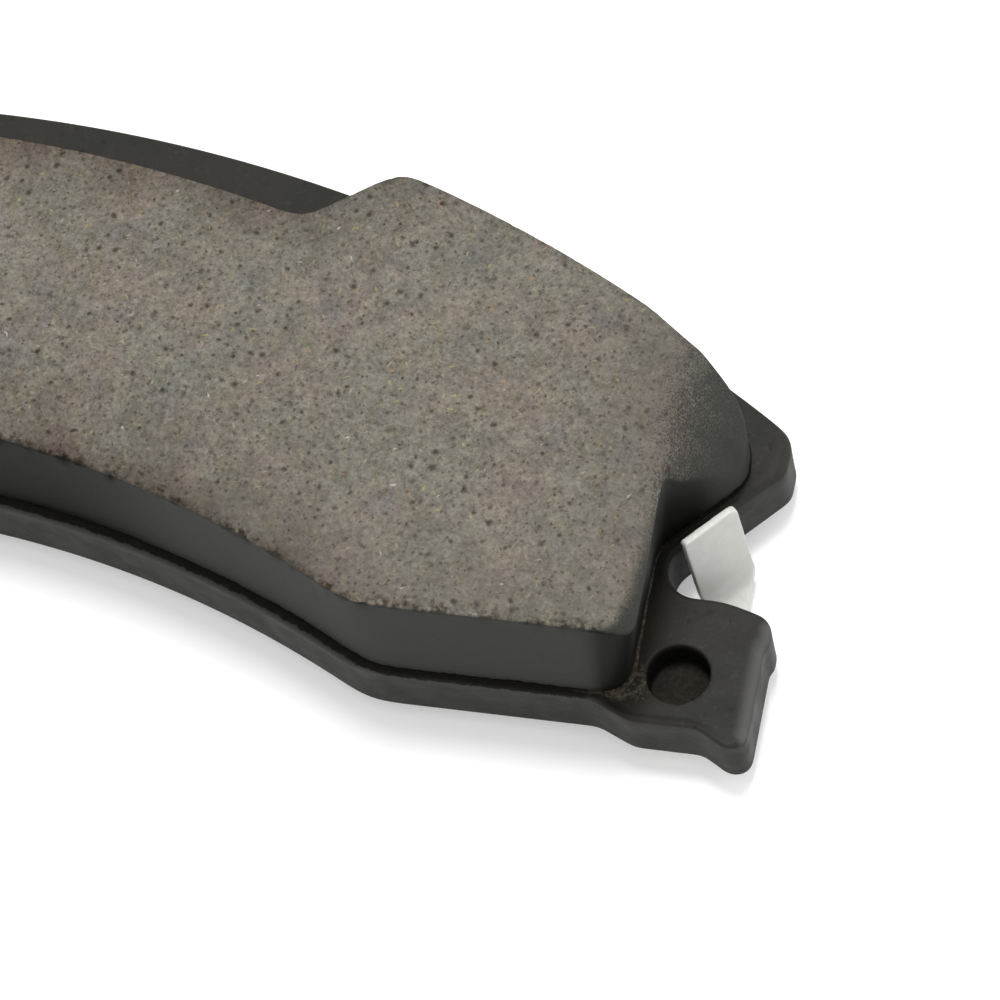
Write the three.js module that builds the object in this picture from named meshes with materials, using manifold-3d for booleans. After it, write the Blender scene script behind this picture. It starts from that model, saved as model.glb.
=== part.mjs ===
// Disc brake pad: a stamped steel backing plate with a chamfered friction block moulded on its front,
// a bonded noise shim on its back, and a spring-steel wear indicator staked to the right ear.
//
// Millimetres. +X runs along the pad towards the wear indicator, +Y points away from the rotor's axis,
// +Z points from the plate towards the rotor. The origin is the bottom centre of the pad lying on its back.
// Heights called "v" below are distances from the rotor's axis, which both long edges are drawn about.

import * as THREE from 'three';
import { mergeVertices } from 'three/addons/utils/BufferGeometryUtils.js';
import Module from 'manifold-3d';

const wasm = await Module();
wasm.setup();

// ---- Driving dimensions ----------------------------------------------------------------------------

// backing plate
const PLATE_T = 5.5;
const OUTER_R = 141;
const INNER_R = 102;
const FOOT_V = 89.5;              // flat lower edge between the inner arc and the ear
const FOOT_X = 68.9;              // where that flat steps down to the ear
const HORN_X = 81.4;
const HORN_R = 141.7;             // the horns stand a little proud of the outer arc
const HORN_START_X = 50;
const HORN_SLOPE = THREE.MathUtils.degToRad(47.5);
const EAR_X = 82.7;
const EAR_TOP_V = 99.9;
const EAR_CREST_X = 78.3;         // where the ear's top edge starts to fall
const LAND = { topV: 98.7, footV: 96.4, relief: 0.35 };    // abutment land on the ear's end face
const EAR_BASE = { v: 88, startX: 72.3, endX: 78.1 };
const HOOK = { v: 86.6, x: 80.5 };
const NOTCH = { x: 69.7, radius: 2.65 };

// half-shear bosses, one in each ear
const BOSS = { x: 75.7, v: 92.7, recessR: 2.7, r: 2.6, plainDepth: 1.85, stakedDepth: 3 };
const STAKE = { r: 3.7, t: 1.1, gap: 0.05 };

// friction side
const FILM_T = 0.2;
const UNDERLAYER_T = 0.7;
const FRICTION_T = 11.1;
const FRICTION_OUTER_R = 139.1;
const FRICTION_INNER_R = 103;
const RECESS_R = 131.5;           // lowered middle of the friction's outer edge
const RECESS_X = 38.2;
const RECESS_SLOPE = THREE.MathUtils.degToRad(36);
const NOSE_X = 78.4;              // friction end beside the horn
const WALL = { footX: 72, topX: 73.45 };              // friction end beside the ear, leaning outwards
const FRICTION_FOOT_V = 90.1;
const HORN_MARGIN = 1;            // friction to the horn's sloping edge
const CHAMFER = { x: 72.8, v: 101, slope: 1.67, turn: 0.09 }; // starts further out beside the horn
const BOND_INSET = 0.4;           // bond line set back from the friction's side wall

// noise shim, listed from the plate outwards
const SHIM_LAYERS = [
  { name: 'shim_adhesive', t: 0.15, color: 0xb9ab86, roughness: 0.6, metalness: 0 },
  { name: 'shim_inner_rubber', t: 0.15, color: 0x191a1b, roughness: 0.8, metalness: 0 },
  { name: 'shim_core', t: 0.5, color: 0x8d9092, roughness: 0.35, metalness: 1 },
  { name: 'shim_outer_rubber', t: 0.2, color: 0x1d1f20, roughness: 0.75, metalness: 0 },
];
const SHIM = { outerR: 138.6, innerR: 104, x: 68, footV: 91.5, corner: 3 };

// wear indicator
const STRIP_T = 0.7;
const STRIP_W = 5.5;
const STRIP_TOP = 10.5;           // above the plate's back face
const STRIP_MIDDLE = { x: 77.5, v: 104 };
const STRIP_LEAN = 0.046;         // sideways for each millimetre of height, towards the pad's middle
const BEND_R = 1.5;               // inside radius
const TAIL = 2.7;                 // flat left beyond the upright's face
const TAB = { left: 75.3, right: 79.4, taperV: 97, ringR: 4.4, holeR: 2.85 };

// resolution of curved edges
const ARC_STEP = 2.4;
const FILLET_STEP = THREE.MathUtils.degToRad(12);
const ROUND_SEGMENTS = 40;

// ---- Derived dimensions ----------------------------------------------------------------------------

const AXIS_DROP = (OUTER_R + HOOK.v) / 2;
const BACK_Z = STRIP_T + STAKE.gap + STAKE.t;
const FRONT_Z = BACK_Z + PLATE_T;
const FRICTION_Z = FRONT_Z + FILM_T + UNDERLAYER_T;
const TOP_Z = FRICTION_Z + FRICTION_T;
const AXIS = new THREE.Vector2(0, -AXIS_DROP);

const onArc = (radius, x) => Math.sqrt(radius ** 2 - x ** 2);
const hornV = (x, inset = 0) =>
  EAR_TOP_V + (x - NOTCH.x) * Math.tan(HORN_SLOPE) + inset / Math.cos(HORN_SLOPE);

// ---- Outlines --------------------------------------------------------------------------------------

// A corner is [x, v, fillet radius, radius of the arc that leads on to the next corner].
// Without that last value the edge to the next corner is straight.
function corner([x, v, fillet = 0, arc = 0]) {
  return { point: new THREE.Vector2(x, v - AXIS_DROP), fillet, arc };
}

// The place reached by leaving one corner for another, along a straight edge or an arc about the axis.
function along(from, to, arc, distance) {
  if (!arc) {
    return from.clone().lerp(to, distance / from.distanceTo(to));
  }
  const turn = Math.sign(from.clone().sub(AXIS).cross(to.clone().sub(AXIS)));
  return from.clone().rotateAround(AXIS, (turn * distance) / arc);
}

// Points of a true circular fillet: a conic through its ends, with the sharp corner as its control.
function filletPoints(before, { point, fillet }, after, arcIn, arcOut) {
  const near = 0.01;
  const inward = point.clone().sub(along(point, before, arcIn, near));
  const outward = along(point, after, arcOut, near).sub(point);
  const turn = Math.abs(Math.atan2(inward.cross(outward), inward.dot(outward)));
  const length = fillet * Math.tan(turn / 2);
  const start = along(point, before, arcIn, length);
  const end = along(point, after, arcOut, length);
  const weight = Math.cos(turn / 2);
  const steps = Math.max(2, Math.ceil(turn / FILLET_STEP));
  return Array.from({ length: steps + 1 }, (_, i) => {
    const t = i / steps;
    const a = (1 - t) ** 2;
    const b = 2 * weight * t * (1 - t);
    const c = t ** 2;
    return start.clone().multiplyScalar(a).addScaledVector(point, b).addScaledVector(end, c)
      .divideScalar(a + b + c);
  });
}

// Corners to points. An open run keeps its two ends as they are; a closed one fillets every corner.
function trace(list, closed = false) {
  const corners = list.map(corner);
  const count = corners.length;
  const runs = corners.map((here, i) => {
    const isEnd = !closed && (i === 0 || i === count - 1);
    if (isEnd || !here.fillet) {
      return [here.point];
    }
    const before = corners[(i + count - 1) % count];
    const after = corners[(i + 1) % count];
    return filletPoints(before.point, here, after.point, before.arc, here.arc);
  });
  return runs.flatMap((run, i) => {
    const arc = corners[i].arc;
    if (!arc) {
      return run;
    }
    const from = run.at(-1).clone().sub(AXIS);
    const to = runs[(i + 1) % count][0].clone().sub(AXIS);
    const turn = Math.atan2(from.cross(to), from.dot(to));
    const steps = Math.ceil((Math.abs(turn) * arc) / ARC_STEP);
    const between = Array.from({ length: steps - 1 }, (_, k) =>
      run.at(-1).clone().rotateAround(AXIS, (turn * (k + 1)) / steps));
    return [...run, ...between];
  });
}

// A right half that starts and ends on the centreline becomes a whole, symmetric outline.
function mirrored(half) {
  const left = half.slice(1, -1).reverse().map(({ x, y }) => new THREE.Vector2(-x, y));
  return new THREE.Shape([...half, ...left]);
}

function plateOutline() {
  const endX = EAR_X - LAND.relief;
  const swell = 1.5;
  return mirrored(trace([
    [0, OUTER_R, 0, OUTER_R],
    [HORN_START_X - swell, onArc(OUTER_R, HORN_START_X - swell), 2 * swell],
    [HORN_START_X, onArc(HORN_R, HORN_START_X), 2 * swell, HORN_R],
    [HORN_X, onArc(HORN_R, HORN_X), 2.2],
    [HORN_X, hornV(HORN_X), 1.8],
    [NOTCH.x, EAR_TOP_V, NOTCH.radius],
    [EAR_CREST_X, EAR_TOP_V, 8],
    [EAR_X, LAND.topV, 1.6],
    [EAR_X, LAND.footV, 0.1],
    [endX, LAND.footV - LAND.relief, 0.3],
    [endX, HOOK.v, 1.3],
    [HOOK.x, HOOK.v, 0.9],
    [EAR_BASE.endX, EAR_BASE.v, 2],
    [EAR_BASE.startX, EAR_BASE.v, 2.5],
    [FOOT_X, FOOT_V, 2.5],
    [onArc(INNER_R, FOOT_V), FOOT_V, 6, INNER_R],
    [0, INNER_R],
  ]));
}

// The friction's side wall, or a line set back from it by `inset`. The end beside the ear is at `wallX`.
function frictionOutline(inset = 0, wallX = WALL.footX) {
  const outer = FRICTION_OUTER_R - inset;
  const recess = RECESS_R - inset;
  const inner = FRICTION_INNER_R + inset;
  const foot = FRICTION_FOOT_V + inset;
  const nose = NOSE_X - inset;
  const wall = wallX - inset;
  const margin = HORN_MARGIN + inset;
  const flank = new THREE.Vector2(Math.cos(RECESS_SLOPE), Math.sin(RECESS_SLOPE));
  const root = new THREE.Vector2(RECESS_X + inset, onArc(recess, RECESS_X + inset));
  const climb = -root.dot(flank) + Math.sqrt(root.dot(flank) ** 2 + outer ** 2 - root.lengthSq());
  const shoulder = root.clone().addScaledVector(flank, climb);
  return mirrored(trace([
    [0, recess, 0, recess],
    [root.x, root.y, 2],
    [shoulder.x, shoulder.y, 2.5, outer],
    [nose, onArc(outer, nose), 4],
    [nose, hornV(nose, margin), 2.5],
    [wall, hornV(wall, margin), 2],
    [wall, foot, 2],
    [onArc(inner, foot), foot, 6, inner],
    [0, inner],
  ]));
}

function shimOutline() {
  return mirrored(trace([
    [0, SHIM.outerR, 0, SHIM.outerR],
    [SHIM.x, onArc(SHIM.outerR, SHIM.x), SHIM.corner],
    [SHIM.x, SHIM.footV, SHIM.corner],
    [onArc(SHIM.innerR, SHIM.footV), SHIM.footV, 2 * SHIM.corner, SHIM.innerR],
    [0, SHIM.innerR],
  ]));
}

// ---- Solids ----------------------------------------------------------------------------------------

function slab(shape, bottom, thickness) {
  return new THREE.ExtrudeGeometry(shape, { depth: thickness, bevelEnabled: false })
    .translate(0, 0, bottom);
}

function disc(x, v, radius, bottom, thickness) {
  return new THREE.CylinderGeometry(radius, radius, thickness, ROUND_SEGMENTS)
    .rotateX(Math.PI / 2)
    .translate(x, v - AXIS_DROP, bottom + thickness / 2);
}

function solid(geometry) {
  const bare = geometry.clone();
  bare.deleteAttribute('normal');
  bare.deleteAttribute('uv');
  const merged = mergeVertices(bare, 1e-4);
  return new wasm.Manifold(new wasm.Mesh({
    numProp: 3,
    vertProperties: merged.getAttribute('position').array,
    triVerts: merged.getIndex().array,
  }));
}

function surface(manifold) {
  const { vertProperties, triVerts } = manifold.getMesh();
  const geometry = new THREE.BufferGeometry();
  geometry.setAttribute('position', new THREE.BufferAttribute(vertProperties, 3));
  geometry.setIndex(new THREE.BufferAttribute(triVerts, 1));
  geometry.computeVertexNormals();
  return geometry;
}

// Each ear is half-sheared: a round recess in front, and the displaced metal as a boss behind.
// The right boss passes through the wear indicator's foot and is staked into a flat head.
function backingPlate() {
  const ears = [
    { side: 1, depth: BOSS.stakedDepth },
    { side: -1, depth: BOSS.plainDepth },
  ];
  let plate = solid(slab(plateOutline(), BACK_Z, PLATE_T));
  for (const { side, depth } of ears) {
    const x = side * BOSS.x;
    plate = plate
      .subtract(solid(disc(x, BOSS.v, BOSS.recessR, FRONT_Z - depth, depth + 1)))
      .add(solid(disc(x, BOSS.v, BOSS.r, 0, BACK_Z + 1)));
  }
  return surface(plate.add(solid(disc(BOSS.x, BOSS.v, STAKE.r, 0, STAKE.t))));
}

// The right end is cut back by a plane that rises from the nose to the friction face. Below that plane the
// wall beside the ear leans in to its foot, because the slab is common to an upright and a sheared one.
function frictionBlock() {
  const reach = 15;
  const wedge = new THREE.ExtrudeGeometry(new THREE.Shape([
    new THREE.Vector2(0, 0),
    new THREE.Vector2(reach, -CHAMFER.slope * reach),
    new THREE.Vector2(reach, reach),
    new THREE.Vector2(0, reach),
  ]), { depth: OUTER_R, bevelEnabled: false })
    .rotateX(Math.PI / 2)
    .translate(0, OUTER_R / 2, 0)
    .rotateZ(-CHAMFER.turn)
    .translate(CHAMFER.x, CHAMFER.v - AXIS_DROP, TOP_Z);
  const wallTop = FRICTION_T - CHAMFER.slope * (WALL.topX - CHAMFER.x);
  const lean = (WALL.topX - WALL.footX) / wallTop;
  const leaning = slab(frictionOutline(), 0, FRICTION_T)
    .applyMatrix4(new THREE.Matrix4().makeShear(0, 0, 0, 0, lean, 0))
    .translate(0, 0, FRICTION_Z);
  const right = solid(slab(frictionOutline(0, WALL.topX), FRICTION_Z, FRICTION_T))
    .intersect(solid(leaning))
    .subtract(solid(wedge))
    .trimByPlane([1, 0, 0], 0);
  return surface(right.add(right.mirror([1, 0, 0])));
}

// The strip's section: foot, bend and upright, in (s, z), where s points from the upright to the ear.
function stripSection() {
  const section = new THREE.Shape();
  section.moveTo(TAIL, -STRIP_T);
  section.lineTo(BEND_R, -STRIP_T);
  section.absarc(BEND_R, BEND_R, BEND_R + STRIP_T, -Math.PI / 2, -Math.PI, true);
  section.lineTo(-STRIP_T, STRIP_TOP);
  section.lineTo(0, STRIP_TOP);
  section.lineTo(0, BEND_R);
  section.absarc(BEND_R, BEND_R, BEND_R, Math.PI, Math.PI * 1.5, false);
  section.lineTo(TAIL, 0);
  section.closePath();
  return section;
}

// The upright's free end seen square on, in (w, z), with w along the bend.
function stripEnd() {
  const half = STRIP_W / 2;
  const sharp = 0.3;
  const round = 0.7;
  const end = new THREE.Shape();
  end.moveTo(-half, -2 * STRIP_T);
  end.lineTo(half, -2 * STRIP_T);
  end.lineTo(half, STRIP_TOP - round);
  end.absarc(half - round, STRIP_TOP - round, round, 0, Math.PI / 2, false);
  end.lineTo(sharp - half, STRIP_TOP);
  end.absarc(sharp - half, STRIP_TOP - sharp, sharp, Math.PI / 2, Math.PI, false);
  end.closePath();
  return end;
}

// The foot lies on the plate's back round the boss. Its neck runs up the notch to the bend, whose corner is
// cut off in line with the neck's outer edge.
function wearIndicator() {
  const options = { bevelEnabled: false, curveSegments: 8 };
  const strip = new THREE.ExtrudeGeometry(stripSection(), { ...options, depth: STRIP_W })
    .rotateX(Math.PI / 2)
    .translate(0, STRIP_W / 2, 0);
  const trim = new THREE.ExtrudeGeometry(stripEnd(), { ...options, depth: TAIL + 2 * STRIP_T })
    .rotateX(Math.PI / 2)
    .rotateZ(Math.PI / 2)
    .translate(-2 * STRIP_T, 0, 0);
  const place = new THREE.Matrix4()
    .makeRotationZ(HORN_SLOPE - Math.PI / 2)
    .setPosition(STRIP_MIDDLE.x, STRIP_MIDDLE.v - AXIS_DROP, 0);
  const upright = surface(solid(strip).intersect(solid(trim)))
    .applyMatrix4(place)
    .applyMatrix4(new THREE.Matrix4().makeShear(0, 0, 0, 0, -STRIP_LEAN, 0))
    .translate(0, 0, BACK_Z);
  const bendLine = new THREE.Vector2(Math.cos(HORN_SLOPE), Math.sin(HORN_SLOPE));
  const seam = new THREE.Vector2(STRIP_MIDDLE.x, STRIP_MIDDLE.v)
    .addScaledVector(bendLine, -STRIP_W / 2)
    .addScaledVector(new THREE.Vector2(bendLine.y, -bendLine.x), (BEND_R + TAIL) / 2);
  const neck = new THREE.Shape(trace([
    [TAB.left, BOSS.v],
    [TAB.right, BOSS.v],
    [TAB.right, seam.y + (TAB.right - seam.x) * Math.tan(HORN_SLOPE)],
    [seam.x, seam.y],
    [TAB.left, TAB.taperV, 2],
  ], true));
  const foot = solid(slab(neck, BACK_Z - STRIP_T, STRIP_T))
    .add(solid(disc(BOSS.x, BOSS.v, TAB.ringR, BACK_Z - STRIP_T, STRIP_T)))
    .subtract(solid(disc(BOSS.x, BOSS.v, TAB.holeR, BACK_Z - 2 * STRIP_T, 3 * STRIP_T)));
  return surface(foot.add(solid(upright).trimByPlane([-1, 0, 0], -TAB.right)));
}

// ---- Assembly --------------------------------------------------------------------------------------

const pad = new THREE.Group();

function addPiece(name, geometry, color, roughness, metalness) {
  const material = new THREE.MeshStandardMaterial({ color, roughness, metalness });
  const mesh = new THREE.Mesh(geometry, material);
  mesh.name = name;
  pad.add(mesh);
}

addPiece('backing_plate', backingPlate(), 0x3a3835, 0.55, 0.3);
addPiece('bond_film', slab(frictionOutline(BOND_INSET), FRONT_Z, FILM_T), 0x8a7442, 0.6, 0);
addPiece('underlayer', slab(frictionOutline(BOND_INSET), FRONT_Z + FILM_T, UNDERLAYER_T),
  0x2b2723, 0.95, 0);
addPiece('friction_block', frictionBlock(), 0x7b746a, 0.9, 0);
addPiece('wear_indicator', wearIndicator(), 0xc4c6c1, 0.35, 1);

let layerTop = BACK_Z;
for (const { name, t, color, roughness, metalness } of SHIM_LAYERS) {
  layerTop -= t;
  addPiece(name, slab(shimOutline(), layerTop, t), color, roughness, metalness);
}

export default pad;
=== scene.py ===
"""Disc brake pad: the finished look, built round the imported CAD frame.

Lengths and noise wavelengths are millimetres until a mesh is made. Colours are linear.
"""
import math

import bmesh
import bpy
import numpy as np
from mathutils import Matrix, Vector, geometry, kdtree, noise


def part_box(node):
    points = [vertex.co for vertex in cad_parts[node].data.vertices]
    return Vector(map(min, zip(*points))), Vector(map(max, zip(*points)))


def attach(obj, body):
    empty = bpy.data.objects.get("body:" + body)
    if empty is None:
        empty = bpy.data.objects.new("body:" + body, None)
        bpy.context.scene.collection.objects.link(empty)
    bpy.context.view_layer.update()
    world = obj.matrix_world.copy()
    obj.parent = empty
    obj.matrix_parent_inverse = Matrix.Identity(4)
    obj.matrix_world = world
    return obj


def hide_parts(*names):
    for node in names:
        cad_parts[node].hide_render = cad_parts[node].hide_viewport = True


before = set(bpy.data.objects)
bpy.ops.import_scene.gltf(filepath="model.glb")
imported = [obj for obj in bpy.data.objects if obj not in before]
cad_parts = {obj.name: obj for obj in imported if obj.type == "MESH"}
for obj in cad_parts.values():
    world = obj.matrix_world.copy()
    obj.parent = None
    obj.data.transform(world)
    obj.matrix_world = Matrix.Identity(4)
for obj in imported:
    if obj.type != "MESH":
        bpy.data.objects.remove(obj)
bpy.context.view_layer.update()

MM = 0.001
WELD = 2e-6                        # metres: vertices nearer than this are one

# ---- Places taken from the CAD frame ----


def box_mm(node):
    low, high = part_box(node)
    return np.array(low) / MM, np.array(high) / MM


BACK_Z = box_mm("shim_adhesive")[1][2]
FRONT_Z = box_mm("backing_plate")[1][2]
FILM_TOP = box_mm("bond_film")[1][2]
BLOCK_LOW, BLOCK_HIGH = box_mm("friction_block")
TOP_Z = BLOCK_HIGH[2]

# the same figures as the CAD source uses
AXIS_DROP = 113.8                  # from the pad's middle to the rotor's axis
CHAMFER_X = 72.8
CHAMFER_Y = 101 - AXIS_DROP
CHAMFER_SLOPE = 1.67
CHAMFER_TURN = 0.09
BOSS_X = 75.7
BOSS_Y = 92.7 - AXIS_DROP
BOSS_R = 2.6
RECESS_R = 2.7
STAKE_R = 3.7
STAKE_T = 1.1

WALL_FOOT_X = 72                   # the block's wall beside the ear, at its foot
WALL_TOP_X = 73.45                 # and where it meets the chamfer
EAR_TOP_Y = 99.9 - AXIS_DROP
NOTCH_X = 69.7
HORN_SLOPE = math.radians(47.5)
HORN_MARGIN = 1

# places on the visible pad only
CHAMFER_BLEND = 0.7                # width over which the face bends into the chamfer
LEAN_FROM_X = 66                   # the wall starts to lean here, and stands straight again at LEAN_TO_X
LEAN_TO_X = 78
EAR_CORNER = (71, -22.5)           # where adhesive is heaped, between the block's corner and the recess
EAR_DIRT = (72.0, -22.4)           # middle of the dirt beside it
# middle of the painted shade in the notch
NOTCH_MIDDLE = (72.0, -11.5)
NOOK_X = 73.2                      # middle of the painted shade where the block's side meets the plate above the notch
NOOK_RISE = 2.5


def past_chamfer(x, y):
    """How far each place lies beyond the line where the friction face starts to fall."""
    return (np.abs(x) - CHAMFER_X) * math.cos(CHAMFER_TURN) - (y - CHAMFER_Y) * math.sin(CHAMFER_TURN)


def face_height(x, y):
    """Height of the friction face, whose two ends are cut back."""
    past = past_chamfer(x, y)
    return TOP_Z - 0.5 * (past + np.hypot(past, CHAMFER_BLEND)) * CHAMFER_SLOPE


def leaned(points):
    """Moves the friction wall beside each ear out at its top, as far as the chamfer."""
    x, y, z = points.T
    far = np.abs(x)
    low = BLOCK_LOW[2]
    part = np.clip((z - low) / (face_height(x, y) - low), 0, 1)
    flank = EAR_TOP_Y + (far - NOTCH_X) * math.tan(HORN_SLOPE) + HORN_MARGIN / math.cos(HORN_SLOPE)
    corner = EAR_TOP_Y + (WALL_FOOT_X - NOTCH_X) * math.tan(HORN_SLOPE) + HORN_MARGIN / math.cos(HORN_SLOPE)
    shift = (WALL_TOP_X - WALL_FOOT_X) * part * ease(far, LEAN_FROM_X, WALL_FOOT_X)
    shift *= (1 - ease(far, WALL_FOOT_X + 0.2, LEAN_TO_X)) * (1 - ease(y - flank, 0.3, 5))
    moved_x = x + np.sign(x) * shift
    moved_y = y + shift * math.tan(HORN_SLOPE) * ease(y, corner - 2.4, corner)
    rise = (z - low) * (face_height(moved_x, moved_y) - low) / (face_height(x, y) - low)
    return np.column_stack([moved_x, moved_y, low + rise])


# ---- Numbers ----


def ease(value, start, end):
    """0 at start, 1 at end, smooth between them."""
    t = np.clip((value - start) / (end - start), 0, 1)
    return t * t * (3 - 2 * t)


def rough(points, wavelength, seed, octaves=1):
    """Noise of about -1 to 1 at each point."""
    at = points / wavelength + seed * 13.7
    if octaves == 1:
        return np.array([noise.noise(Vector(p)) for p in at])
    return np.array([noise.fractal(Vector(p), 1.0, 2.0, octaves) for p in at])


def crumbs(points, wavelength, seed):
    """How near each point is to the middle of its own crumb: 1 there, 0 between crumbs."""
    at = points / wavelength + seed * 7.9
    near = np.array([noise.voronoi(Vector(p))[0][0] for p in at])
    return 1 - ease(near, 0.1, 0.75)


def away_from(points, place):
    """Distance in plan from a place at the right, or from its mirror image at the left."""
    return np.hypot(np.abs(points[:, 0]) - place[0], points[:, 1] - place[1])


# ---- Outlines ----


def flat_loops(node, height):
    """The closed edges of a CAD node's flat face at that height, largest first, anticlockwise."""
    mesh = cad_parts[node].data
    level = round(height * 1000)
    places = [tuple(round(c * 1e6) for c in v.co) for v in mesh.vertices]
    edges = set()
    for face in mesh.polygons:
        corners = [places[i] for i in face.vertices]
        if all(abs(c[2] - level) <= 2 for c in corners):
            edges.update(zip(corners, corners[1:] + corners[:1]))
    after = {a: b for a, b in edges if (b, a) not in edges}
    loops = []
    while after:
        first = min(after)
        loop, at = [first], after.pop(first)
        while at != first:
            loop.append(at)
            at = after.pop(at)
        loops.append(np.array(loop, float)[:, :2] / 1000)
    return sorted((one if area(one) > 0 else one[::-1] for one in loops), key=area, reverse=True)


def area(loop):
    x, y = loop.T
    return 0.5 * float(np.sum(x * np.roll(y, -1) - y * np.roll(x, -1)))


class Outline:
    """An even run of points round a closed edge, with the way out from each."""

    def __init__(self, loop, step, softness, arc_softness=None, arc_end=0):
        """`softness` is how far corners are smoothed, or `arc_softness` within `arc_end` of the middle."""
        closed = np.vstack([loop, loop[:1]])
        run = np.concatenate([[0], np.cumsum(np.hypot(*np.diff(closed, axis=0).T))])
        count = round(run[-1] / step)
        at = np.arange(count) * run[-1] / count
        even = np.column_stack([np.interp(at, run, closed[:, k]) for k in (0, 1)])
        self.points = self.softened(even, step, softness)
        if arc_softness:
            arc = (1 - ease(np.abs(self.points[:, 0]), arc_end - 3, arc_end))[:, None]
            self.points += arc * (self.softened(even, step, arc_softness) - self.points)
        ahead = np.roll(self.points, -1, axis=0) - np.roll(self.points, 1, axis=0)
        way = self.softened(np.column_stack([ahead[:, 1], -ahead[:, 0]]), step, 2 * softness)
        self.out = way / np.hypot(*way.T)[:, None]
        self.tree = kdtree.KDTree(count)
        for i, (x, y) in enumerate(self.points):
            self.tree.insert((x, y, 0), i)
        self.tree.balance()

    @staticmethod
    def softened(values, step, width):
        """Values round a closed line, smoothed over a length of about `width`."""
        gain = np.exp(-2 * (np.pi * np.fft.fftfreq(len(values), d=step) * width) ** 2)
        return np.real(np.fft.ifft(np.fft.fft(values, axis=0) * gain[:, None], axis=0))

    def ring(self, inset, height):
        """The outline moved in by `inset`, at `height`. Both may differ from point to point."""
        flat = self.points - self.out * np.reshape(inset, (-1, 1))
        return np.column_stack([flat, np.broadcast_to(height, len(flat))])

    def inside(self, points):
        x, y = points.T[:, :, None]
        ax, ay = self.points.T[:, None, :]
        bx, by = np.roll(self.points, -1, axis=0).T[:, None, :]
        crosses = ((ay > y) != (by > y)) & (x < (bx - ax) * (y - ay) / (by - ay + 1e-12) + ax)
        return crosses.sum(axis=1) % 2 == 1

    def nearest(self, points):
        """For each point, the way out at the nearest place on the outline, and how far in it is."""
        found = [self.tree.find((x, y, 0)) for x, y in points[:, :2]]
        index = np.array([f[1] for f in found])
        inset = np.sum((self.points[index] - points[:, :2]) * self.out[index], axis=1)
        away = np.array([f[2] for f in found])
        return self.out[index], np.where(away > 1.5, away, np.maximum(inset, 0))


# ---- Meshes ----


class Shape:
    """Points and faces of one closed mesh."""

    def __init__(self):
        self.points = np.zeros((0, 3))
        self.faces = []

    def add(self, points, faces):
        base = len(self.points)
        self.points = np.vstack([self.points, points])
        self.faces += [tuple(base + i for i in face) for face in faces]

    def loft(self, rings):
        """Closed rings of equal counts, joined one to the next."""
        n = len(rings[0])
        faces = [
            (k * n + i, k * n + (i + 1) % n, (k + 1) * n + (i + 1) % n, (k + 1) * n + i)
            for k in range(len(rings) - 1)
            for i in range(n)
        ]
        self.add(np.vstack(rings), faces)

    def fill(self, ring, height, spacing, holes=()):
        """A triangulated cap inside a ring, but for any holes, with points `spacing` apart in it."""
        loops = [ring[:, :2], *(h[:, :2] for h in holes)]
        low, high = loops[0].min(axis=0), loops[0].max(axis=0)
        columns = np.arange(low[0], high[0], spacing)
        rows = np.arange(low[1], high[1], spacing * math.sqrt(0.75))
        x, y = np.meshgrid(columns, rows)
        x = x + (np.arange(len(rows)) % 2)[:, None] * spacing / 2
        grid = np.column_stack([x.ravel(), y.ravel()])
        border = Outline(loops[0], spacing / 2, 0)
        grid = grid[border.inside(grid)]
        grid = grid[border.nearest(grid)[1] > 0.7 * spacing]
        for hole in loops[1:]:
            centre = hole.mean(axis=0)
            radius = np.hypot(*(hole - centre).T).mean()
            grid = grid[np.hypot(*(grid - centre).T) > radius + 0.5 * spacing]
        flat = np.vstack([*loops, grid])
        edges, start = [], 0
        for loop in loops:
            count = len(loop)
            edges += [(start + i, start + (i + 1) % count) for i in range(count)]
            start += count
        made = geometry.delaunay_2d_cdt([Vector(p) for p in flat], edges, [], 1, 1e-6)
        points = np.array([tuple(p) for p in made[0]])
        owner = np.zeros(len(flat), int)
        start = len(loops[0])
        for number, hole in enumerate(loops[1:], 1):
            owner[start:start + len(hole)] = number
            start += len(hole)
        of_point = [owner[was[0]] if was else 0 for was in made[3]]
        faces = [f for f in made[2] if not (of_point[f[0]] and len({of_point[i] for i in f}) == 1)]
        self.add(np.column_stack([points, height(*points.T)]), faces)

    def lid(self, ring, height, facing_up):
        """One many-sided face over a ring, for places nothing sees."""
        order = range(len(ring)) if facing_up else reversed(range(len(ring)))
        self.add(np.column_stack([ring[:, :2], np.full(len(ring), height)]), [tuple(order)])

    def mesh(self, name):
        """Welds what touches and returns a new object, with its points in mm as an array."""
        made = bpy.data.meshes.new(name)
        made.from_pydata((self.points * MM).tolist(), [], self.faces)
        weld(made)
        made.shade_smooth()
        return new_object(name, made), points_of(made)


def weld(mesh):
    """Joins vertices that touch, and turns every face outwards."""
    work = bmesh.new()
    work.from_mesh(mesh)
    bmesh.ops.remove_doubles(work, verts=work.verts, dist=WELD)
    bmesh.ops.recalc_face_normals(work, faces=work.faces)
    work.to_mesh(mesh)
    work.free()


def new_object(name, data):
    thing = bpy.data.objects.new(name, data)
    bpy.context.scene.collection.objects.link(thing)
    return thing


def points_of(mesh):
    flat = np.zeros(3 * len(mesh.vertices))
    mesh.vertices.foreach_get("co", flat)
    return flat.reshape(-1, 3) / MM


def move_points(thing, points):
    thing.data.vertices.foreach_set("co", (points * MM).ravel())
    thing.data.update()


def mark(thing, name, values):
    """Keeps one number per vertex, for the material to read."""
    layer = thing.data.attributes.new(name, "FLOAT", "POINT")
    layer.data.foreach_set("value", np.broadcast_to(values, len(thing.data.vertices)).astype(float))


def finish_piece(thing, material, slot, *nodes):
    thing.data.materials.clear()
    thing.data.materials.append(material)
    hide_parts(*nodes)
    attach(thing, "root")


# ---- Material graphs ----


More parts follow.
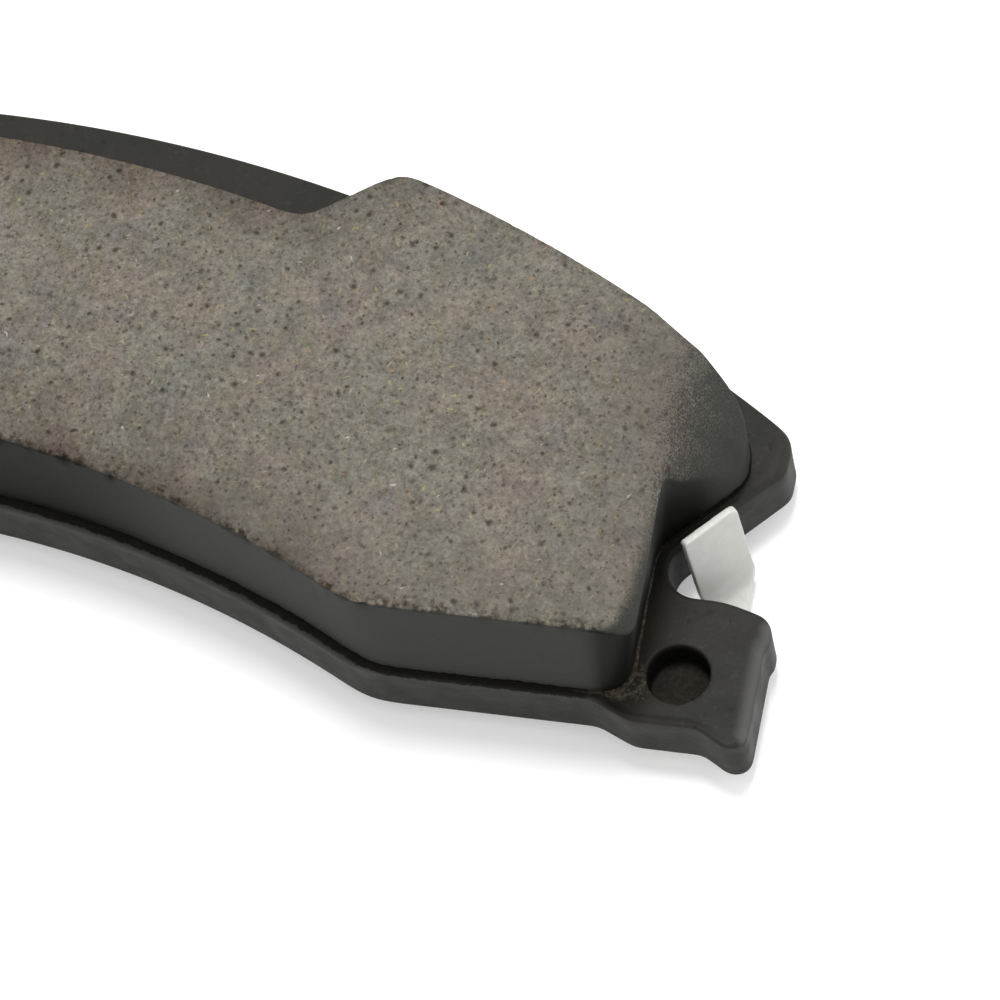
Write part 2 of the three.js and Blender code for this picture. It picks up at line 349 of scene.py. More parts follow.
class Graph:
    """One node material, read in millimetres."""

    def __init__(self, name, specular=0.5, metallic=0.0):
        self.material = bpy.data.materials.new(name)
        self.material.use_nodes = True
        self.tree = self.material.node_tree
        self.shader = next(n for n in self.tree.nodes if n.type == "BSDF_PRINCIPLED")
        self.shader.inputs["Metallic"].default_value = metallic
        self.shader.inputs["Specular IOR Level"].default_value = specular
        place = self.node("ShaderNodeTexCoord").outputs["Object"]
        self.mm = self.vector("SCALE", place, scale=1 / MM)

    def node(self, kind, **settings):
        made = self.tree.nodes.new(kind)
        for key, value in settings.items():
            setattr(made, key, value)
        return made

    def put(self, value, socket):
        if isinstance(value, bpy.types.NodeSocket):
            self.tree.links.new(value, socket)
        elif isinstance(value, tuple) and len(value) == 3 and len(socket.default_value) == 4:
            socket.default_value = (*value, 1)
        else:
            socket.default_value = value

    def vector(self, operation, a, b=None, scale=None):
        made = self.node("ShaderNodeVectorMath", operation=operation)
        self.put(a, made.inputs[0])
        if b is not None:
            self.put(b, made.inputs[1])
        if scale is not None:
            self.put(scale, made.inputs["Scale"])
        return made.outputs["Vector"]

    def math(self, operation, a, b):
        made = self.node("ShaderNodeMath", operation=operation)
        self.put(a, made.inputs[0])
        self.put(b, made.inputs[1])
        return made.outputs[0]

    def plus(self, a, b):
        return self.math("ADD", a, b)

    def times(self, a, b):
        return self.math("MULTIPLY", a, b)

    def mix(self, amount, a, b, blend="MIX"):
        made = self.node("ShaderNodeMix", data_type="RGBA", blend_type=blend)
        self.put(amount, made.inputs[0])
        self.put(a, made.inputs[6])
        self.put(b, made.inputs[7])
        return made.outputs[2]

    def band(self, value, start, end, low=0.0, high=1.0):
        """Smooth step: `low` where the value is `start`, `high` where it is `end`."""
        made = self.node("ShaderNodeMapRange", interpolation_type="SMOOTHSTEP")
        for socket, number in zip(made.inputs, (value, start, end, low, high)):
            self.put(number, socket)
        return made.outputs[0]

    def turned(self, angle, sizes, at=None):
        """Coordinates turned about +Z, then divided by the sizes along each axis."""
        made = self.node("ShaderNodeMapping", vector_type="TEXTURE")
        self.put(at or self.mm, made.inputs["Vector"])
        made.inputs["Rotation"].default_value = (0, 0, math.radians(angle))
        made.inputs["Scale"].default_value = sizes
        return made.outputs["Vector"]

    def noise(self, wavelength, detail=2.0, roughness=0.5, at=None, colour=False):
        made = self.node("ShaderNodeTexNoise")
        self.put(at or self.mm, made.inputs["Vector"])
        made.inputs["Scale"].default_value = 1 / wavelength
        made.inputs["Detail"].default_value = detail
        made.inputs["Roughness"].default_value = roughness
        return made.outputs["Color" if colour else 0]

    def patches(self, wavelength, detail, roughness, start, end, low=0.0, high=1.0, at=None):
        """Noise that has been through a band."""
        return self.band(self.noise(wavelength, detail, roughness, at), start, end, low, high)

    def jitter(self, wavelength, detail, roughness, amount):
        """Noise about 0, which makes the edge of a mark ragged."""
        return self.times(self.math("SUBTRACT", self.noise(wavelength, detail, roughness), 0.5), amount)

    def cells(self, size, at):
        """Distance to the nearest cell's middle, in cells, and that cell's own random colour."""
        made = self.node("ShaderNodeTexVoronoi", voronoi_dimensions="2D")
        self.put(at, made.inputs["Vector"])
        made.inputs["Scale"].default_value = 1 / size
        return made.outputs["Distance"], made.outputs["Color"]

    def split(self, colour):
        made = self.node("ShaderNodeSeparateColor")
        self.put(colour, made.inputs[0])
        return made.outputs[0], made.outputs[1], made.outputs[2]

    def warped(self, wavelength, amount, detail):
        """Coordinates pushed about by noise."""
        push = self.vector("SUBTRACT", self.noise(wavelength, detail, colour=True), (0.5, 0.5, 0.5))
        return self.vector("ADD", self.mm, self.vector("SCALE", push, scale=amount))

    def kept(self, name):
        """The number that `mark` keeps under that name."""
        return self.node("ShaderNodeAttribute", attribute_name=name).outputs["Fac"]

    def spots(self, size, biggest, share, at, soft):
        """Irregular spots: a mask, and each one's random number. `biggest` is a radius in cells."""
        distance, colour = self.cells(size, at)
        pick, width, own = self.split(colour)
        radius = self.times(self.band(width, 0, 1, 0.35, 1), biggest)
        edge = self.band(self.math("DIVIDE", distance, radius), 1, soft)
        return self.times(edge, self.math("LESS_THAN", pick, share)), own

    def steps(self, value, stops):
        """One plain colour for each stretch of the value."""
        ramp = self.node("ShaderNodeValToRGB")
        elements = ramp.color_ramp.elements
        ramp.color_ramp.interpolation = "CONSTANT"
        while len(elements) < len(stops):
            elements.new(0.5)
        for element, (start, shade) in zip(elements, stops):
            element.position = start
            element.color = (*shade, 1)
        self.put(value, ramp.inputs[0])
        return ramp.outputs[0]

    def finish(self, colour, rough_value, height=None, depth=0.1):
        """Wires the shader. `depth` is the bump's, in millimetres."""
        self.put(colour, self.shader.inputs["Base Color"])
        self.put(rough_value, self.shader.inputs["Roughness"])
        if height is not None:
            bump = self.node("ShaderNodeBump")
            bump.inputs["Distance"].default_value = depth * MM
            self.put(height, bump.inputs["Height"])
            self.put(bump.outputs[0], self.shader.inputs["Normal"])
        return self.material


COMPOUND_GREY = (0.152, 0.1432, 0.1168)
COMPOUND_TAN = (0.167, 0.1430, 0.1190)
COMPOUND_ASH = (0.137, 0.131, 0.1185)
COMPOUND_OCHRE = (0.158, 0.144, 0.092)
COMPOUND_THREAD = (0.245, 0.228, 0.186)
COMPOUND_BLOT = (0.058, 0.050, 0.039)
COMPOUND_PRICK = (0.046, 0.040, 0.031)
COMPOUND_PORE = (0.030, 0.025, 0.018)
COMPOUND_STAIN = (0.52, 0.47, 0.45)
COMPOUND_DULL = (0.092, 0.082, 0.070)
COMPOUND_BROKEN = (0.032, 0.025, 0.018)
FLECKS = (
    (0.0, (0.29, 0.235, 0.115)),
    (0.45, (0.26, 0.175, 0.10)),
    (0.65, (0.29, 0.26, 0.17)),
    (0.9, (0.42, 0.40, 0.34)),
)
SKIN_DARK = (0.0122, 0.0131, 0.0096)
SKIN_LIGHT = (0.0305, 0.0312, 0.0268)
SKIN_CLOUD = (0.0255, 0.0255, 0.0262)
SKIN_DUST = (0.080, 0.081, 0.079)
SKIN_EDGE = (0.007, 0.007, 0.006)
# colour of the painted shade on the block's walls by the ear and the notch
SKIN_SHADE = (0.0020, 0.0022, 0.0016)

PLATE_DARK = (0.0225, 0.0225, 0.0195)
PLATE_LIGHT = (0.0268, 0.0250, 0.0212)
PLATE_DUST = (0.046, 0.045, 0.041)
PLATE_BLOT = (0.013, 0.011, 0.009)
# colour of the painted highlight on the rim of the ear's end
PLATE_HIGHLIGHT = (0.135, 0.135, 0.126)
# colour of the painted shade in the notch and on the recesses' walls
PLATE_SHADE = (0.0028, 0.0026, 0.002)
SIDE_DARK = (0.0172, 0.0178, 0.0148)
SIDE_LIGHT = (0.0218, 0.0221, 0.0194)
SIDE_STREAK = (0.036, 0.036, 0.034)
GRIME = (0.0175, 0.0140, 0.0112)
# colour of the painted shade line along the ear's lower front edge
EDGE_SHADE = (0.006, 0.0055, 0.0045)
# colours of the painted light on the ledge beside the block's foot
LIT_LEDGE_DARK = (0.050, 0.051, 0.044)
LIT_LEDGE_LIGHT = (0.068, 0.068, 0.060)
# colours of the painted shade in the joint under the block's side
JOINT_SHADE_DARK = (0.0065, 0.0062, 0.0048)
JOINT_SHADE_LIGHT = (0.0185, 0.0178, 0.0140)
RESIDUE_DARK = (0.020, 0.016, 0.012)
RESIDUE_LIGHT = (0.100, 0.088, 0.064)
HOLLOW_DARK = (0.0185, 0.0155, 0.0128)
HOLLOW_LIGHT = (0.0300, 0.0255, 0.0205)


def compound_colour(g, bent, grain, fine):
    """Clouds of grey and tan, with a grain in three sizes and pale threads lying two ways."""
    colour = g.mix(g.patches(6.5, 3, 0.5, 0.44, 0.62), COMPOUND_GREY, COMPOUND_TAN)
    elsewhere = g.turned(40, (1, 1, 1), g.vector("ADD", g.mm, (31, 7, 0)))
    colour = g.mix(g.patches(5, 2, 0.5, 0.56, 0.68, 0, 0.7, elsewhere), colour, COMPOUND_ASH)
    stretched = g.turned(20, (0.6, 1.3, 1))
    colour = g.mix(g.patches(2.2, 2, 0.5, 0.60, 0.72, 0, 0.5, stretched), colour, COMPOUND_OCHRE)
    value = g.times(g.patches(1.7, 4, 0.6, 0.3, 0.7, 0.86, 1.14), g.band(grain, 0.28, 0.72, 0.76, 1.24))
    value = g.times(value, g.band(fine, 0.3, 0.7, 0.84, 1.16))
    colour = g.mix(1.0, colour, g.vector("SCALE", (1.0, 1.0, 1.0), scale=value), "MULTIPLY")
    for angle, shift in ((25, 0.0), (112, 5.0)):
        lie = g.turned(angle, (1.3, 0.3, 1.0), g.vector("ADD", bent, (shift, shift, 0)))
        colour = g.mix(g.patches(1.0, 2, 0.5, 0.64, 0.78, 0, 0.26, lie), colour, COMPOUND_THREAD)
    return colour


def pits(g, bent):
    """Three kinds of pit, all ragged: blots, pores and pricks."""
    blots = g.patches(0.8, 3, 0.65, 0.385, 0.29, at=bent)
    pores, _ = g.spots(1.5, 0.30, 0.6, bent, soft=0.0)
    pores = g.times(pores, g.patches(3.5, 3, 0.6, 0.38, 0.58, 0.2, 1.0))
    pricks, _ = g.spots(0.8, 0.34, 0.5, g.vector("ADD", bent, (3.3, 1.7, 0)), soft=0.0)
    return blots, pores, pricks


def pitted(g, colour, blots, pores, pricks):
    """The colour with its pits, which are stronger towards the ends."""
    deep = g.plus(1.0, g.times(g.kept("dulled"), 0.4))
    colour = g.mix(g.times(g.times(blots, 0.64), deep), colour, COMPOUND_BLOT)
    colour = g.mix(g.times(g.times(pricks, 0.68), deep), colour, COMPOUND_PRICK)
    return g.mix(g.times(pores, 0.9), colour, COMPOUND_PORE)


def flecked(g, colour, bent):
    """The colour with flecks of brass and mineral, lying three ways."""
    for angle, shift in ((12, 0.0), (64, 9.0), (118, 17.0)):
        lie = g.turned(angle, (2.2, 0.75, 1.2), g.vector("ADD", bent, (shift, 2 * shift, 0)))
        fleck, own = g.spots(1.8, 0.105, 0.42, lie, soft=0.2)
        colour = g.mix(g.times(fleck, 0.85), colour, g.steps(own, FLECKS))
    return colour


def edged(g, colour, grain):
    """The colour browner and darker towards the block's edge in places, and crumbled on it."""
    stained = g.times(g.kept("rim"), g.patches(6, 3, 0.6, 0.35, 0.65, 0.5, 1.0))
    colour = g.mix(stained, colour, COMPOUND_STAIN, "MULTIPLY")
    colour = g.mix(g.times(g.kept("dulled"), 0.4), colour, COMPOUND_DULL)
    return g.mix(g.times(g.kept("broken"), g.band(grain, 0.62, 0.42)), colour, COMPOUND_BROKEN)


def side_paint(g):
    """Where the sides' paint is, thinning out in specks over the cut-back ends, and its colour."""
    scatter = g.plus(g.jitter(0.17, 2, 0.6, 2.0), g.jitter(1.4, 4, 0.65, 0.9))
    paint = g.plus(g.kept("paint"), g.times(scatter, g.kept("fading")))
    tone = g.plus(g.kept("tone"), g.jitter(12, 3, 0.6, 0.8))
    skin = g.mix(g.band(tone, 0, 1), SKIN_DARK, SKIN_LIGHT)
    skin = g.mix(g.patches(3.5, 4, 0.6, 0.35, 0.7, 0, 0.25), skin, SKIN_CLOUD)
    dusty = g.plus(g.times(g.kept("fading"), 0.36), 0.06)
    skin = g.mix(g.times(g.patches(0.14, 2, 0.5, 0.54, 0.68), dusty), skin, SKIN_DUST)
    return g.band(paint, 0.08, 0.92), skin


def friction_material():
    """Pressed compound: mineral grain, pits, brass and mineral flecks, painted sides, and painted shade on
    the walls by the ear and the notch.
    """
    g = Graph("friction_compound", specular=0.08)
    bent = g.warped(0.45, 0.42, 3)
    grain = g.noise(0.55, 4, 0.7)
    fine = g.noise(0.24, 3, 0.65)
    blots, pores, pricks = pits(g, bent)
    colour = pitted(g, compound_colour(g, bent, grain, fine), blots, pores, pricks)
    colour = edged(g, flecked(g, colour, bent), grain)
    painted, skin = side_paint(g)
    colour = g.mix(painted, colour, skin)
    edge_line = g.times(g.kept("edge_line"), g.band(grain, 0.3, 0.55, 1.0, 0.4))
    colour = g.mix(edge_line, colour, SKIN_EDGE)
    # painted shade on the walls by the ear and the notch
    colour = g.mix(g.kept("shade"), colour, SKIN_SHADE)
    holes = g.plus(pores, g.times(g.plus(pricks, blots), 0.5))
    height = g.math("SUBTRACT", g.plus(g.times(grain, 0.5), g.times(fine, 0.3)), holes)
    bare = g.math("SUBTRACT", 1.0, painted)
    height = g.times(height, g.plus(g.times(bare, 0.8), 0.2))
    rough_value = g.math("SUBTRACT", 0.92, g.times(painted, 0.34))
    return g.finish(colour, rough_value, height, 0.09)


def plate_paint(g):
    """Dusty paint, with a painted highlight on the rim of the ear's end, and streaked on the sheared sides.
    """
    colour = g.mix(g.patches(6, 4, 0.6, 0.35, 0.65), PLATE_DARK, PLATE_LIGHT)
    colour = g.mix(g.patches(0.7, 4, 0.7, 0.53, 0.75, 0, 0.55), colour, PLATE_DUST)
    colour = g.mix(g.patches(1.3, 3, 0.6, 0.62, 0.7, 0, 0.6), colour, PLATE_BLOT)
    # painted highlight on the rim of the ear's end
    colour = g.mix(g.kept("end_highlight"), colour, PLATE_HIGHLIGHT)
    streaks = g.patches(1.0, 3, 0.6, 0.5, 0.75, 0, 0.3, g.turned(0, (3, 3, 0.8)))
    side = g.mix(streaks, g.mix(g.noise(4, 3, 0.6), SIDE_DARK, SIDE_LIGHT), SIDE_STREAK)
    return g.mix(g.kept("sheared"), colour, side)


def plate_dirt_and_shading(g, colour, residue):
    """The colour with grime beside the block, painted shade on the ledge under it with painted light further
    out, a painted shade line along the ear's lower edge, film left at the ear, the recess floors, and painted
    shade in the notch and on the recesses' walls.
    """
    grime = g.band(g.plus(g.kept("grime"), g.jitter(1.8, 4, 0.65, 1.0)), 0.3, 0.9, 0, 0.8)
    colour = g.mix(grime, colour, GRIME)
    # painted light: the ledge beside the block's foot made lighter
    colour = g.mix(g.kept("ledge"), colour, g.mix(g.noise(1.5, 3, 0.6), LIT_LEDGE_DARK, LIT_LEDGE_LIGHT))
    # painted shade in the joint under the block's side, ragged at its edge
    joint_shade = g.band(g.plus(g.kept("joint_shade"), g.jitter(0.9, 5, 0.7, 1.7)), 0.38, 0.62)
    colour = g.mix(joint_shade, colour, g.mix(g.noise(0.5, 3, 0.6), JOINT_SHADE_DARK, JOINT_SHADE_LIGHT))
    # painted shade: a dark line along the ear's lower front edge
    colour = g.mix(g.kept("edge_shade"), colour, EDGE_SHADE)
    film = g.mix(g.patches(0.4, 3, 0.7, 0.4, 0.62), RESIDUE_DARK, RESIDUE_LIGHT)
    colour = g.mix(g.times(residue, 0.75), colour, film)
    hollow = g.mix(g.patches(0.45, 4, 0.7, 0.42, 0.62), HOLLOW_DARK, HOLLOW_LIGHT)
    colour = g.mix(g.kept("hollow"), colour, hollow)
    # painted shade in the notch and on the recesses' walls
    return g.mix(g.kept("shade"), colour, PLATE_SHADE)


def plate_material():
    """Black-brown paint over stamped steel."""
    g = Graph("plate_paint", specular=0.12)
    residue = g.band(g.plus(g.kept("residue"), g.jitter(0.6, 4, 0.7, 1.4)), 0.42, 0.8)
    colour = plate_dirt_and_shading(g, plate_paint(g), residue)
    rougher = g.math("MAXIMUM", g.math("MAXIMUM", residue, g.kept("hollow")), g.kept("joint_shade"))
    coarse = g.times(rougher, g.times(g.noise(0.4, 3, 0.6), 2.5))
    height = g.plus(g.times(g.noise(0.35, 3, 0.65), 0.6), coarse)
    rough_value = g.plus(g.patches(2.2, 3, 0.5, 0.3, 0.7, 0.46, 0.58), g.times(rougher, 0.3))
    return g.finish(colour, rough_value, height, 0.05)


def underlayer_material():
    """Dark, coarse bonding compound."""
    g = Graph("underlayer_compound", specular=0.1)
    dark, light, crumb = (0.0075, 0.0070, 0.0054), (0.0180, 0.0168, 0.0130), (0.028, 0.024, 0.018)
    grain = g.noise(0.4, 4, 0.7)
    colour = g.mix(g.band(grain, 0.4, 0.7), dark, light)
    colour = g.mix(g.times(g.patches(0.7, 3, 0.6, 0.58, 0.68), g.kept("proud")), colour, crumb)
    return g.finish(colour, 0.95, grain, 0.2)


def film_material():
    """Thin adhesive, brown-gold at the ears, and near black elsewhere as painted shade in the joint under the
    block.
    """
    g = Graph("cured_adhesive", specular=0.1)
    # dark is painted shade for the film in the joint away from the ears
    brown, gold, dark = (0.020, 0.0160, 0.0115), (0.078, 0.066, 0.048), (0.0060, 0.0056, 0.0044)
    at_ear = g.mix(g.patches(0.5, 4, 0.7, 0.38, 0.64), brown, gold)
    return g.finish(g.mix(g.kept("ear"), dark, at_ear), 0.8, g.noise(0.35, 3, 0.7), 0.12)


def spring_steel_material():
    """Bright strip, with a faint rolling grain across it."""
    g = Graph("spring_steel", metallic=0.3, specular=0.4)
    dark, light, smudge = (0.515, 0.522, 0.492), (0.550, 0.557, 0.525), (0.44, 0.44, 0.415)
    rolled = g.noise(1.0, 3, 0.6, g.turned(-42.5, (4.0, 0.12, 0.6)))
    colour = g.mix(g.patches(1.6, 3, 0.6, 0.3, 0.7), dark, light)
    colour = g.mix(g.patches(0.5, 3, 0.5, 0.66, 0.74, 0, 0.35), colour, smudge)
    rough_value = g.band(rolled, 0.3, 0.7, 0.52, 0.64)
    return g.finish(colour, rough_value, g.plus(rolled, g.noise(0.25, 2)), 0.008)


def rubber_material(name, dark, light):
    """Rubber skin with a fine leathery grain and faint handling marks."""
    g = Graph(name, specular=0.35)
    scuff = g.patches(1.0, 3, 0.6, 0.67, 0.75, 0, 0.35, g.turned(34, (9, 0.25, 1)))
    colour = g.mix(scuff, g.mix(g.noise(9, 4, 0.6), dark, light), (0.060, 0.060, 0.058))
    return g.finish(colour, g.patches(3, 3, 0.5, 0.3, 0.7, 0.52, 0.68), g.noise(0.28, 3, 0.6), 0.03)


def core_material():
    """Cut edge of the shim's steel sheet."""
    g = Graph("shim_steel", metallic=1.0)
    lines = g.noise(1.0, 3, 0.6, g.turned(0, (0.3, 0.3, 3)))
    colour = g.mix(lines, (0.34, 0.34, 0.33), (0.55, 0.55, 0.53))
    return g.finish(colour, g.band(lines, 0.3, 0.7, 0.32, 0.48), lines, 0.02)


def adhesive_material():
    """Pressure-sensitive adhesive, amber, and slightly uneven."""
    g = Graph("shim_adhesive", specular=0.5)
    colour = g.mix(g.noise(1.5, 3, 0.6), (0.34, 0.27, 0.14), (0.48, 0.40, 0.24))
    return g.finish(colour, g.patches(0.8, 2, 0.5, 0.3, 0.7, 0.35, 0.55), g.noise(0.6, 3), 0.03)


# ---- Friction block ----

block_line = Outline(flat_loops("friction_block", BLOCK_LOW[2])[0], 0.3, 0.6, 1.0, 66)
block_keen = 0.35 + 0.65 * ease(-block_line.out[:, 1], 0.1, 0.6)    # 1 where the face's edge is nearly sharp
SKIRT = 0.55                       # how far the painted skin of the side runs down over the underlayer
FLANK_ROUND = 2.6                  # radius of the chamfer's edge above the notch
CORNER_ROUND = 2.2                 # radius of the paint's edge round the corner by the ear


def block_mesh():
    """The block as rings, from its foot up the side and over the edge, with a filled face."""
    low = BLOCK_LOW[2]
    roof = face_height(*block_line.points.T)
    around = np.column_stack([block_line.points, np.zeros(len(roof))])
    hem = low - SKIRT + 0.16 * np.clip(rough(around, 1.1, 6, 3), -1, 1)
    rings = [block_line.ring(0.5, low), block_line.ring(0.27, low - 0.02), block_line.ring(0.22, hem)]
    rings += [block_line.ring(inset, hem + rise) for inset, rise in ((0.07, 0.0), (0.0, 0.08))]
    rings += [block_line.ring(0.0, low + rise) for rise in (0.1, 0.4)]
    for part in np.linspace(0, 1, 12)[1:-1]:
        rings.append(block_line.ring(0.0, low + 0.4 + part * (roof - low - 1.1)))
    over_edge = ((0, 0.7), (0, 0.48), (0.03, 0.3), (0.09, 0.15), (0.2, 0.05), (0.38, 0))
    for inset, fall in over_edge:
        ring = block_line.ring(inset * block_keen, 0)
        ring[:, 2] = face_height(*ring[:, :2].T) - fall * block_keen
        rings.append(ring)
    for inset in (0.65, 1.0, 1.4):
        ring = block_line.ring(inset, 0)
        ring[:, 2] = face_height(*ring[:, :2].T)
        rings.append(ring)
    shape = Shape()
    shape.loft(rings)
    shape.fill(rings[-1], face_height, 0.7)
    shape.lid(rings[0], low, False)
    return shape.mesh("friction_pad")


class BlockPlace:
    """Where each of the block's vertices lies, and how broken the face's edge is there."""

    def __init__(self, points):
        self.out, self.inset = block_line.nearest(points)
        self.far = np.abs(points[:, 0])
        self.roof = face_height(*points[:, :2].T)
        self.fall = self.roof - points[:, 2]
        self.on_face = self.fall < 0.02
        self.edge = 1 - ease(np.hypot(self.inset, self.fall), 0.1, 0.95)
        self.inner_side = ease(-self.out[:, 1], 0.1, 0.6)
        self.chips = np.clip(rough(points, 0.8, 1, 3) - 0.02, 0, None)
        self.bites = np.clip(rough(points, 3.5, 2, 2) - 0.25, 0, None)


def crumbled(points, at):
    """Breaks the face's edge, frays the hem, and makes walls and face a little uneven."""
    foot = 1 - ease(points[:, 2] - BLOCK_LOW[2], -SKIRT, 0.1)
    crumble = (0.02 + 0.4 * at.chips + 0.35 * at.bites) * (0.12 + 0.88 * at.inner_side)
    crumble *= 1 - ease(at.far, 70, 72.5)
    ragged = 0.1 * np.clip(rough(points, 0.7, 3, 3), 0, None) * foot
    sway = 0.04 * (1 + rough(points, 9, 4)) * ease(at.fall, 0.1, 1)
    inward = at.edge * crumble + ragged * ease(at.fall, 1, 2) + sway
    moved = points.copy()
    moved[:, :2] -= at.out * inward[:, None]
    moved[:, 2] -= at.edge * crumble * 0.7
    moved[:, 2] -= np.where(at.on_face, 0.015 * (1 + rough(points, 1.6, 5, 2)), 0) * (1 - at.edge)
    return moved


def rubbed_down(points, at):
    """Lowers the outer rim towards the ends, and rounds the chamfer's edge above the notch."""
    low = BLOCK_LOW[2]
    outer_side = ease(at.out[:, 1], 0.2, 0.6)
    towards_end = ease(at.far, 69, 73.5) * (1 - ease(at.far, 73.5, 78))
    rubbed = 1.2 * towards_end * outer_side * (1 - ease(at.inset, 0.0, 2.8))
    left = np.clip(FLANK_ROUND - at.inset, 0, None)
    above_notch = ease(at.far, 71.3, 73.6) * at.inner_side
    rubbed += above_notch * (FLANK_ROUND - np.sqrt(FLANK_ROUND ** 2 - left ** 2))
    height = low + (points[:, 2] - low) * (at.roof - rubbed - low) / (at.roof - low)
    return np.column_stack([points[:, :2], height])


def past_paint_line(moved, at):
    """How far each vertex lies past the line where the face's paint starts, rounded by the ear."""
    past = past_chamfer(*moved[:, :2].T)
    sideways, inwards = past + CORNER_ROUND, CORNER_ROUND - at.inset
    in_corner = (sideways > 0) & (inwards > 0)
    rounded = np.where(in_corner, np.hypot(sideways, inwards), np.maximum(sideways, inwards))
    by_ear = at.inner_side * (moved[:, 1] < EAR_TOP_Y) > 0
    return np.where(by_ear, np.maximum(past, rounded - CORNER_ROUND), past)


def mark_block(thing, points, moved, at):
    past = past_paint_line(moved, at)
    high_side = ease(moved[:, 1], CHAMFER_Y + 2, CHAMFER_Y + 14)
    horn_side = ease(moved[:, 1], EAR_TOP_Y - 2, EAR_TOP_Y + 5)
    walls = ease(at.fall, 0.12 * block_keen.mean(), 0.5)
    start, end = -0.4 - 1.5 * horn_side - 1.9 * high_side, 1.3 + 1.6 * horn_side + 1.1 * high_side
    mark(thing, "paint", np.maximum(walls * 1.2, ease(past, start, end)))
    fading = (1 - 0.92 * walls) * (0.45 + 0.55 * horn_side)
    mark(thing, "fading", fading * (1 - ease(past, 1.5 + high_side, 4.5 + high_side)))
    rim = np.exp(-at.inset / 3.6) * (0.12 + 0.88 * (1 - ease(at.far, 38, 56)))
    mark(thing, "rim", rim * (0.9 + 0.4 * at.inner_side) * (1 - ease(at.fall, 0.3, 0.8)))
    mark(thing, "dulled", ease(past, -11, 0) * (0.8 + 0.6 * high_side) * at.on_face)
    broken = at.edge * (0.3 + 2 * at.chips + 2 * at.bites) * (0.2 + 0.8 * at.inner_side)
    mark(thing, "broken", np.clip(broken, 0, 1))
    line = np.exp(-((at.fall - 0.32) / 0.28) ** 2) * (at.inset < 0.2) * (0.4 + 0.6 * at.inner_side)
    mark(thing, "edge_line", line * (1 - ease(past, -2.5, -0.5)))
    # painted shade on the walls that face the ear and the notch
    mark(thing, "shade", block_shade(points, at) * walls)
    mark(thing, "tone", ease(at.far, 20, 38))


def block_shade(points, at):
    """Painted shade on the walls that face the ear and the notch, darkest low down."""
    far, y = at.far, points[:, 1]
    rise = points[:, 2] - BLOCK_LOW[2]
    part = rise / (at.roof - BLOCK_LOW[2])
    facing = ease(np.abs(at.out[:, 0]), 0.0, 0.28)
    beside_ear = 1 - ease(y, EAR_TOP_Y - 1, EAR_TOP_Y + 2)
    at_corner = 1 - ease(y, EAR_TOP_Y - 9, EAR_TOP_Y - 5.5)
    flank = (1 - beside_ear) * (1 - ease(y, EAR_TOP_Y + 7, EAR_TOP_Y + 10)) * ease(-at.out[:, 1], 0.1, 0.5)
    nook = np.exp(-((far - NOOK_X) / 2.2) ** 2 - ((y - EAR_TOP_Y - NOOK_RISE) / 3.2) ** 2)
    layers = (
        beside_ear * ease(far, 67, 71) * (0.15 + 0.65 * (1 - ease(rise, 1, 9))),
        at_corner * ease(far, 65, 70) * 0.93,
        flank * 0.95 * (1 - 0.48 * ease(part, 0.35, 1.0)) * (1 - 0.6 * ease(far, 74, 78)),
        0.93 * nook * (1 - 0.4 * ease(part, 0.4, 1.0)),
    )
    return np.maximum.reduce(layers) * facing


def friction_block():
    thing, points = block_mesh()
    at = BlockPlace(points)
    moved = leaned(rubbed_down(crumbled(points, at), at))
    move_points(thing, moved)
    mark_block(thing, points, moved, at)
    finish_piece(thing, friction_material(), "friction_compound", "friction_block")


# ---- Bond ----

HIDDEN_INSET = 1.4                 # the bond layers' lids start here, out of sight


def underlayer():
    line = block_line
    low, high = FILM_TOP - 0.1, BLOCK_LOW[2]
    rings = [line.ring(HIDDEN_INSET, low)]
    rings += [line.ring(0.3, low + part * (high - low)) for part in np.linspace(0, 1, 6)]
    rings.append(line.ring(HIDDEN_INSET, high))
    shape = Shape()
    shape.loft(rings)
    shape.lid(rings[0], low, False)
    shape.lid(rings[-1], high, True)
    thing, points = shape.mesh("underlayer_edge")
    out, inset = line.nearest(points)
    flatter = points * (1, 1, 0.8)
    lumps = crumbs(flatter, 0.7, 1) * 0.25 + 0.12 * rough(flatter, 2.6, 8, 2) + 0.1 * rough(flatter, 0.45, 9)
    below_top = 1 - ease(points[:, 2], high - 0.5, high - 0.3)
    grow = np.where(inset < 0.9, np.minimum(lumps - 0.05, 0.16), 0) * below_top
    moved = points.copy()
    moved[:, :2] += out * grow[:, None]
    move_points(thing, moved)
    mark(thing, "proud", ease(grow, 0.0, 0.12))
    finish_piece(thing, underlayer_material(), "underlayer_compound", "underlayer")


